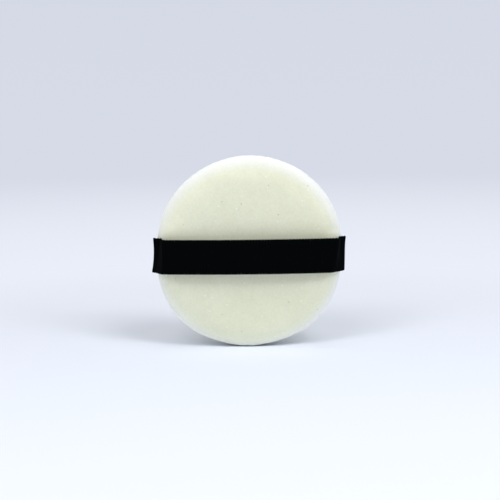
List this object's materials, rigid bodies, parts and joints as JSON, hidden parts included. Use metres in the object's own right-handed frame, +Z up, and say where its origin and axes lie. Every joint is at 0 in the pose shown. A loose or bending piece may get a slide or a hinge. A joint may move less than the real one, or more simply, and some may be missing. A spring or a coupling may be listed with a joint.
{
  "type": "powder puff",
  "caption": "Round cushioned velour powder puff with a foam core and a flat woven ribbon finger strap sewn into its rim, standing on edge.",
  "frame": {"origin": "on the surface that the puff stands on, at the flat foot of its rim, under the seam between the two covers", "axes": "+Z up through the standing puff, +Y out of the plain powder face, -Y out of the face that carries the strap, X along the strap"},
  "size_m": [0.0558, 0.0162, 0.0565],
  "materials": {
    "velour": "matte",
    "foam": "matte",
    "ribbon": "matte",
    "pale_thread": "satin",
    "dark_thread": "satin"
  },
  "bodies": {
    "pad": {"front_cover": "velour", "back_cover": "velour", "foam_core": "foam", "left_ribbon_end": "ribbon", "right_ribbon_end": "ribbon", "rim_seam_thread": "pale_thread", "closing_thread": "pale_thread", "left_bar_tack": "dark_thread", "right_bar_tack": "dark_thread"},
    "strap": {"ribbon_strap": "ribbon"}
  },
  "joints": [
    {"name": "strap_swing", "type": "hinge", "parent": "pad", "child": "strap", "pos_m": [0, 0, 0.028], "axis": [1, 0, 0], "range_deg": [-26, 26], "stiffness_Nm_per_rad": 0.001}
  ]
}
